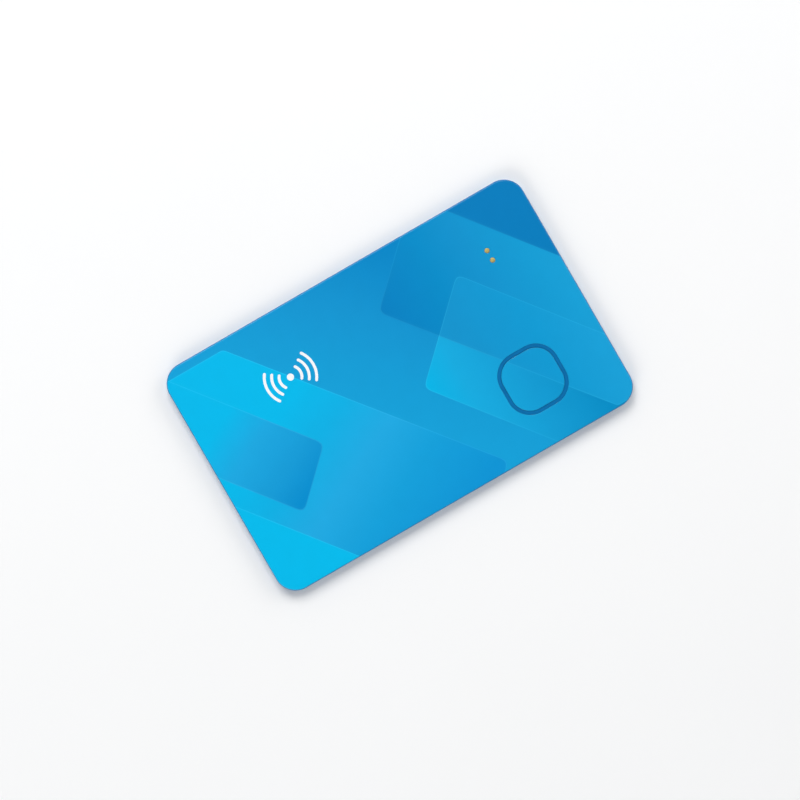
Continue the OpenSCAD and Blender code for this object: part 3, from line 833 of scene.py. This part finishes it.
def build_rear_shell(material):
    """A tray with a locating lip, and what stands on its floor."""
    shell = Solid("rear_shell")
    lip_out, lip_top = WALL - LIP, SEAM + LIP_RISE
    section = [(EDGE_R + FLAT, 0)] + rounded(EDGE_R, EDGE_R, EDGE_R, ROUND_STEPS, 90, 0, up=-1)
    section += rounded(BREAK, SEAM - BREAK, BREAK, SMALL_STEPS)
    section += [(lip_out, SEAM), (lip_out, lip_top - LIP_LEAD), (lip_out + LIP_LEAD, lip_top),
                (WALL - LIP_LEAD, lip_top), (WALL, lip_top - LIP_LEAD), (WALL, FLOOR)]
    back_rim, floor_rim = shell.stack(section, card_shape)
    shell.fill(back_rim)
    feet = add_posts(shell) + [add_fence(shell), add_collar(shell)]
    shell.fill(floor_rim, *feet)
    return shell.make(material, "case", "rear_shell", "rear_cover")


# ---------------------------------------------------------------- button

RING_SOFT = 0.08                # rounding of the ring's upper edges
PAD_GAP = 0.05
PAD_EDGE = 0.08
PAD_FLANGE_HALF = 6.7
PAD_FLANGE_CORNER = 4.95
PAD_FLANGE_T = 0.12
PAD_FLANGE_Z = 1.94
NUB_R = 1.2


def build_button_ring(material):
    ring = Solid("button_seal_ring")
    low, top = ring_low.z + BREAK, ring_high.z - RING_SOFT
    section = rounded(BREAK, low, BREAK, SMALL_STEPS, 90, 0, up=-1)
    section += rounded(RING_SOFT, top, RING_SOFT, FINE_STEPS)
    section += rounded(RING_W - RING_SOFT, top, RING_SOFT, FINE_STEPS, 90, 180)
    section += rounded(RING_W - BREAK, low, BREAK, SMALL_STEPS, 180, 90, up=-1)
    ring.stack(section, ring_shape, closed=True)
    return ring.make(material, "case", "ring_rubber", "button_ring")


def build_button_pad(material):
    pad = Solid("button_pad_cap")

    def cap_shape(inset):
        return ring_shape(RING_W + PAD_GAP + inset)

    def flange_shape(inset):
        half = PAD_FLANGE_HALF - inset
        return outline(half, half, PAD_FLANGE_CORNER - inset, CORNER_STEPS, RING_CENTRE)

    low, top = pad_low.z, pad_high.z
    flange_top = PAD_FLANGE_Z + PAD_FLANGE_T
    nub_section = [(BREAK, low), (0, low + BREAK), (0, PAD_FLANGE_Z)]
    nub_tip, nub_root = pad.stack(nub_section, round_shape(NUB_R, RING_CENTRE))
    flange_foot, flange_head = pad.stack([(0, PAD_FLANGE_Z), (0, flange_top)], flange_shape)
    cap_section = [(0, flange_top)] + rounded(PAD_EDGE, top - PAD_EDGE, PAD_EDGE, FINE_STEPS)
    cap_foot, cap_rim = pad.stack(cap_section + [(PAD_EDGE + FLAT, top)], cap_shape)
    pad.fill(nub_tip)
    pad.fill(flange_foot, nub_root)
    pad.fill(flange_head, cap_foot)
    pad.fill(cap_rim)
    return pad.make(material, "button", "button_plastic", "button_pad")


# ---------------------------------------------------------------- contacts

CONTACT_FLANGE_T = 0.15
CONTACT_EDGE = 0.07
CONTACT_EDGE_STEPS = 4
CONTACT_CROWN = 0.02            # how far the middle of a contact's face stands above its edge
CROWN_STEPS = 6


def build_contacts(material):
    contacts = Solid("charging_contact_pair")
    low, rim = contact_low.z, contact_high.z - CONTACT_CROWN
    flange_top = low + CONTACT_FLANGE_T
    flat = HEAD_R - CONTACT_EDGE
    flange_section = [(BREAK, low), (0, low + BREAK), (0, flange_top)]
    head_section = [(0, flange_top)]
    head_section += rounded(CONTACT_EDGE, rim - CONTACT_EDGE, CONTACT_EDGE, CONTACT_EDGE_STEPS)
    for k in range(1, CROWN_STEPS):
        share = k / CROWN_STEPS
        head_section.append((CONTACT_EDGE + flat * share, rim + CONTACT_CROWN * (1 - (1 - share) ** 2)))
    for place in CONTACTS:
        foot, brim = contacts.stack(flange_section, round_shape(FLANGE_R, place))
        head_foot, tip = contacts.stack(head_section, round_shape(HEAD_R, place))
        contacts.fill(foot)
        contacts.fill(brim, head_foot)
        contacts.fill(tip)
    return contacts.make(material, "case", "gold_plate", "charging_contacts")


# ---------------------------------------------------------------- mark

MARK_DOT_R = 0.75
MARK_ARC_RS = (2.4, 3.95, 5.5)
MARK_LINE = 0.6
MARK_SPAN = math.radians(36)
INK_EDGE = 0.008


def build_face_mark(material):
    """The generic beacon: a dot with three arcs on each side."""
    mark = Solid("face_mark_ink")
    centre = middle(mark_low, mark_high)
    low, top = mark_low.z, mark_high.z
    section = [(0, low), (0, top - INK_EDGE), (INK_EDGE, top)]

    def arc_shape(radius, turn):
        return lambda inset: arc_band(radius, MARK_LINE - 2 * inset, MARK_SPAN, turn, centre,
                                      CORNER_STEPS, ROUND_STEPS)

    shapes = [round_shape(MARK_DOT_R, centre)]
    shapes += [arc_shape(radius, turn) for radius in MARK_ARC_RS for turn in (0, math.pi)]
    for shape in shapes:
        foot, head = mark.stack(section, shape)
        mark.fill(foot)
        mark.fill(head)
    return mark.make(material, "case", "white_ink", "face_mark")


# ---------------------------------------------------------------- the dome that the button presses

DOME_T = 0.06
FILM_T = 0.04
FILM_GAP = 0.01
CAP_STEPS = 20


def ball_of(radius, rise):
    """Radius of the ball that a cap of that radius and rise is cut from."""
    return (radius * radius + rise * rise) / (2 * rise)


def cap_points(ball, centre_z, start_z):
    """Section points over a ball's cap, from where it leaves start_z to half a step from its top."""
    first = math.acos(min(1.0, (start_z - centre_z) / ball))
    turns = [first * (1 - k / (CAP_STEPS + 0.5)) for k in range(CAP_STEPS + 1)]
    return [(ball * math.sin(turn), centre_z + ball * math.cos(turn)) for turn in turns]


def build_cap(name, node, slot, material, ball, thickness, centre_z, skirt):
    """A thin round cap, with a flat skirt round it where skirt is the skirt's radius. It is built in its
    raised shape only; the real one flattens as the button goes down."""
    base = in_mm(node)[0].z
    cap = Solid(name)
    if skirt:
        over = [(skirt, base), (skirt, base + thickness)] + cap_points(ball, centre_z, base + thickness)
    else:
        over = cap_points(ball, centre_z, base)
    under = cap_points(ball - thickness, centre_z, base)

    def around(radius):
        return circle(radius, WIDE_STEPS, RING_CENTRE)

    over_rim, over_tip = cap.stack(over, around)
    under_rim, under_tip = cap.stack(under, around)
    cap.bridge(under_rim, over_rim)
    cap.fill(over_tip)
    cap.fill(under_tip)
    piece = cap.make(material, "case", slot, node)
    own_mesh(piece)


def build_domes(finishes):
    dome_low, dome_high = in_mm("snap_dome")
    film_low, film_high = in_mm("dome_film")
    ball = ball_of((dome_high.x - dome_low.x) / 2, dome_high.z - dome_low.z)
    centre_z = dome_high.z - ball
    build_cap("snap_dome_disc", "snap_dome", "dome_steel", finishes["dome_steel"], ball, DOME_T, centre_z,
              skirt=0)
    build_cap("snap_dome_film", "dome_film", "dome_film", finishes["dome_film"],
              ball + FILM_GAP + FILM_T, FILM_T, centre_z, skirt=(film_high.x - film_low.x) / 2)


# ---------------------------------------------------------------- assembly

FLOOR_R = 3.0 / MM              # 3 metres
PAPER = (0.93, 0.935, 0.94, 1.0)


def carry_over(finishes):
    """Gives every CAD node that still shows its procedural finish."""
    for name, node in frame["nodes"].items():
        if node.hide_render:
            continue
        node.data.materials.clear()
        node.data.materials.append(finishes[SLOT_OF[name]])


def add_floor():
    floor = Solid("studio_floor")
    floor.fill(floor.loop(circle(FLOOR_R, WIDE_STEPS), 0))
    g = Shader("studio_paper")
    paper = g.shade(PAPER, g.noise(0.01), 0.995, 1.005)
    piece = floor.place(g.finish(paper, rough=0.9, Specular_IOR_Level=0.2))


finishes = make_finishes(card_high.z)
build_front_shell(finishes["front_shell"])
build_rear_shell(finishes["rear_shell"])
build_button_ring(finishes["ring_rubber"])
build_button_pad(finishes["button_plastic"])
build_contacts(finishes["gold_plate"])
build_face_mark(finishes["white_ink"])
build_domes(finishes)
carry_over(finishes)
add_floor()
for softbox in SOFTBOXES:
    add_softbox(*softbox)
add_world()
add_camera()
